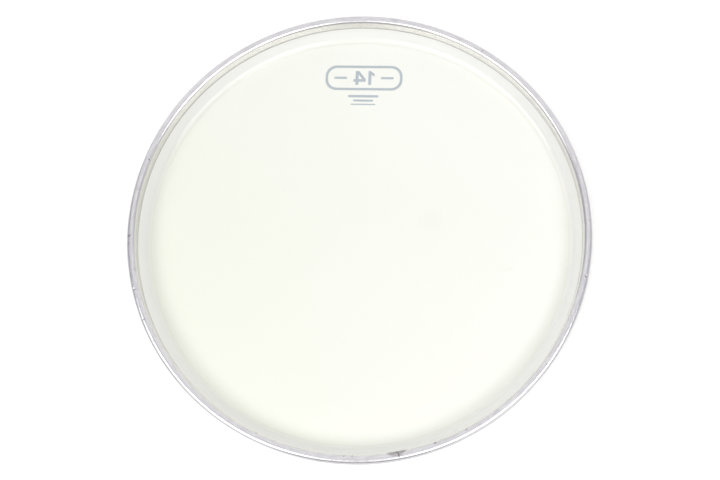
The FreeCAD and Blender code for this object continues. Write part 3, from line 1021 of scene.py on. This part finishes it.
def print_mark():
    """The whole mark as one thin closed layer of ink on the coating."""
    ink = bmesh.new()
    middle_x, middle_y = MARK_MIDDLE
    add_frame(ink, FRAME_SIZE, FRAME_STROKE, MARK_MIDDLE)
    add_numerals(ink, MARK_MIDDLE)
    for side in (-1, 1):
        add_rule(ink, *SIDE_RULE_SIZE, (middle_x + side * SIDE_RULE_AWAY, middle_y))
    for width, height, drop in LOWER_RULES:
        add_rule(ink, width, height, (middle_x, middle_y - drop))
    bmesh.ops.recalc_face_normals(ink, faces=ink.faces[:])
    raised = bmesh.ops.extrude_face_region(ink, geom=ink.faces[:], use_keep_orig=True)
    top = [item for item in raised["geom"] if isinstance(item, bmesh.types.BMVert)]
    bmesh.ops.translate(ink, verts=top, vec=(0, 0, INK_THICKNESS))
    bmesh.ops.translate(ink, verts=ink.verts[:], vec=(0, 0, COATING_TOP + INK_GAP))
    bmesh.ops.recalc_face_normals(ink, faces=ink.faces[:])
    mesh = bpy.data.meshes.new("mark")
    ink.to_mesh(mesh)
    ink.free()
    mesh.materials.append(mark_ink())
    piece = bpy.data.objects.new("mark", mesh)
    bpy.context.scene.collection.objects.link(piece)
    return piece


mark = print_mark()
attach(mark, "root")
print("mark:", len(mark.data.polygons), "faces")

# %% [markdown]
# ## Floor and sky
# The photograph is bright and nearly without shadow. The floor is a white sheet that takes the head's
# soft shadow. A glow that only sight meets, also through clear film, keeps it white, and it grows with
# distance, so that the far floor and the sky are one white. A shadow catcher would need a second picture
# to lie over, and this needs none.

# %% Floor

FLOOR_HALF = 4.0
FLOOR_HEIGHT = -0.1 * MM
FLOOR_COLOUR = (0.90, 0.90, 0.90, 1)
FLOOR_GLOW = 0.26
FLOOR_NEAR, FLOOR_FAR = 0.3, 1.6
RIM_FADE = (OUTSIDE - 3 * MM, OUTSIDE + 4 * MM)
# Under the collar the glow is weak in the middle, and stronger at front and back, most at the front
GLOW_UNDER_COLLAR, GLOW_AT_ENDS, GLOW_TO_FRONT = 0.12, 0.40, 0.06


def seen_directly(tree):
    """1 for sight, also through clear film, 0 for light that spreads or mirrors."""
    path = add(tree, "ShaderNodeLightPath", None, None, "Is Camera Ray")
    return path.math("MAXIMUM", path, path.output("Is Transmission Ray"))


def make_floor():
    """A wide white sheet under the head."""
    finish, tree = new_finish("floor_sheet")
    matte = add(tree, "ShaderNodeBsdfDiffuse", None, {"Color": FLOOR_COLOUR})
    place = object_place(tree)
    y = parts_of(tree, place)[1] / OUTSIDE
    radius = from_axis(tree, place)
    outside = radius.smooth(*RIM_FADE)
    far = radius.smooth(FLOOR_NEAR, FLOOR_FAR).spread(FLOOR_GLOW, 1.0)
    under_collar = GLOW_UNDER_COLLAR + y * y * GLOW_AT_ENDS - y * GLOW_TO_FRONT
    strength = seen_directly(tree) * (under_collar * (1 - outside) + outside * far)
    glow = add(tree, "ShaderNodeEmission", None, {"Strength": strength})
    show(tree, add(tree, "ShaderNodeAddShader", None, {0: matte, 1: glow}))
    mesh = bpy.data.meshes.new("floor")
    corners = [(side_x * FLOOR_HALF, side_y * FLOOR_HALF, FLOOR_HEIGHT)
               for side_x, side_y in ((-1, -1), (1, -1), (1, 1), (-1, 1))]
    mesh.from_pydata(corners, [], [(0, 1, 2, 3)])
    mesh.materials.append(finish)
    floor = bpy.data.objects.new("floor", mesh)
    bpy.context.scene.collection.objects.link(floor)


make_floor()
print("floor: %.0f m across" % (2 * FLOOR_HALF))

# %% [markdown]
# The sky is white to the eye and softer as light. Gloss sees something else, as bright metal does in a
# light tent: a pale studio with grey flanks and a darker place low in front. A picture of a studio could
# stand here, but a few masks on the direction say the same and can be tuned one by one.

# %% Sky

STUDIO_WALL, LOW_FRONT = (0.91, 0.90, 0.91, 1), (0.38, 0.38, 0.40, 1)
FLANK_LEFT, FLANK_RIGHT = (0.50, 0.50, 0.53, 1), (0.62, 0.62, 0.65, 1)
FLANK_FADE, OVERHEAD_FADE, FLANK_TURN = (0.74, 0.96), (0.12, 0.35), (-0.5, 0.5)
FRONT_FADE, FRONT_ENDS, FRONT_TOP = (0.0, 0.4), (0.3, 0.6), (0.30, 0.55)
ABOVE_ZERO = 0.0001
SKY_FRONT, SKY_BACK = 0.275, 0.775
SKY_RIGHT = 0.70
SKY_SIDE_FADE, SKY_SIDES = (0.0, 0.9), (0.92, 1.2)


def studio(tree, toward):
    """What gloss sees in a direction: pale walls, grey flanks and a darker place low in front."""
    x, y, z = parts_of(tree, toward)
    level = x.math("SQRT", x * x + y * y + ABOVE_ZERO)
    sideways = abs(x / level)
    side = sideways.smooth(*FLANK_FADE) * level.smooth(*OVERHEAD_FADE)
    ahead = (0 - y).smooth(*FRONT_FADE) * (1 - sideways.smooth(*FRONT_ENDS))
    front_low = ahead * (1 - z.smooth(*FRONT_TOP))
    flank = blend(tree, x.smooth(*FLANK_TURN), FLANK_LEFT, FLANK_RIGHT)
    walls = blend(tree, side, STUDIO_WALL, flank)
    return blend(tree, front_low, walls, LOW_FRONT)


def make_sky():
    """A sky that is white to the eye, softer as light, and a studio to gloss."""
    world = bpy.data.worlds.new("sky")
    world.use_nodes = True
    tree = world.node_tree
    tree.nodes.clear()
    toward = add(tree, "ShaderNodeTexCoord", None, None, "Generated")
    x, y, _ = parts_of(tree, toward)
    depth = y.smooth(-1.0, 1.0).spread(SKY_FRONT, SKY_BACK)
    sides = abs(x).smooth(*SKY_SIDE_FADE).spread(*SKY_SIDES)
    even = depth * (x.smooth(0.0, 1.0).spread(1.0, SKY_RIGHT) * sides)
    soft = add(tree, "ShaderNodeCombineColor", None, {0: even, 1: even, 2: even})
    glossy = add(tree, "ShaderNodeLightPath", None, None, "Is Glossy Ray")
    lit = blend(tree, glossy, soft, studio(tree, toward))
    colour = blend(tree, seen_directly(tree), lit, WHITE)
    sky = add(tree, "ShaderNodeBackground", None, {"Color": colour})
    add(tree, "ShaderNodeOutputWorld", None, {"Surface": sky})
    bpy.context.scene.world = world


make_sky()
print("sky:", bpy.context.scene.world.name)

# %% [markdown]
# ## Soft boxes
# Two soft boxes stand left and right of the camera. They draw the bright arcs on the film's bend and the
# line along the hoop's crown, and the rim's soft shadow on the flat. Small lamps would draw hard dots
# there instead. Each one's power follows from its size and from how bright it should look.

# %% Soft boxes

BOX_ELEVATION = 55.0
BOX_DISTANCE = 3.0
BOX_WIDTH, BOX_LENGTH = 2.3, 1.45
# Each soft box: degrees clockwise from +Y, and radiance
SOFT_BOXES = {"soft_box_right": (132.0, 3.30), "soft_box_left": (236.0, 3.17)}


def soft_box(name, clockwise, radiance):
    """A soft box that looks at the head."""
    lamp = bpy.data.lights.new(name, "AREA")
    lamp.shape = "RECTANGLE"
    lamp.size = BOX_WIDTH
    lamp.size_y = BOX_LENGTH
    lamp.energy = radiance * math.pi * BOX_WIDTH * BOX_LENGTH
    holder = bpy.data.objects.new(name, lamp)
    rise = math.radians(BOX_ELEVATION)
    away = outwards_at(clockwise) * math.cos(rise) + Vector((0, 0, math.sin(rise)))
    holder.location = away * BOX_DISTANCE
    holder.rotation_euler = away.to_track_quat("Z", "Y").to_euler()
    holder.visible_camera = False
    bpy.context.scene.collection.objects.link(holder)


for box_name, (box_bearing, box_radiance) in SOFT_BOXES.items():
    soft_box(box_name, box_bearing, box_radiance)

# %% [markdown]
# ## The camera
# It stands 0.8 m off, a little in front of the head and turned, and it is rolled so that the mark is
# nearly upright in the picture. Its axes are worked out from those few angles, because a constraint that
# tracks a target couldn't hold the roll. A small shift sets the head in the frame as it is in the
# photograph.

# %% Camera

CAMERA_DISTANCE = 0.8
CAMERA_TILT = math.radians(17.03)
CAMERA_TURN = math.radians(12.56)
CAMERA_ROLL = math.radians(10.96)
LENS_MM = 50.2
CLIP_START = 0.01
PICTURE_WIDTH, PICTURE_HEIGHT = 720, 480
HEAD_MIDDLE_PX = (356.7, 224.7)


def make_camera():
    """Sets the camera from its distance, tilt, turn and roll about the crown's middle."""
    side = Vector((math.sin(CAMERA_TURN), -math.cos(CAMERA_TURN), 0))
    back = side * math.sin(CAMERA_TILT) + Vector((0, 0, math.cos(CAMERA_TILT)))
    level = Vector((math.cos(CAMERA_TURN), math.sin(CAMERA_TURN), 0))
    upright = back.cross(level)
    right = level * math.cos(CAMERA_ROLL) - upright * math.sin(CAMERA_ROLL)
    up = level * math.sin(CAMERA_ROLL) + upright * math.cos(CAMERA_ROLL)
    turned = Matrix((right, up, back)).transposed().to_4x4()
    place = Vector((0, 0, CROWN)) + back * CAMERA_DISTANCE
    data = bpy.data.cameras.new("camera")
    data.lens = LENS_MM
    data.clip_start = CLIP_START
    data.shift_x = (PICTURE_WIDTH / 2 - HEAD_MIDDLE_PX[0]) / PICTURE_WIDTH
    data.shift_y = -(PICTURE_HEIGHT / 2 - HEAD_MIDDLE_PX[1]) / PICTURE_WIDTH
    camera = bpy.data.objects.new("camera", data)
    camera.matrix_world = Matrix.Translation(place) @ turned
    bpy.context.scene.collection.objects.link(camera)
    bpy.context.scene.camera = camera
    return camera


camera = make_camera()
bpy.context.scene.view_settings.view_transform = "Standard"
print("camera at", [round(value, 3) for value in camera.location])
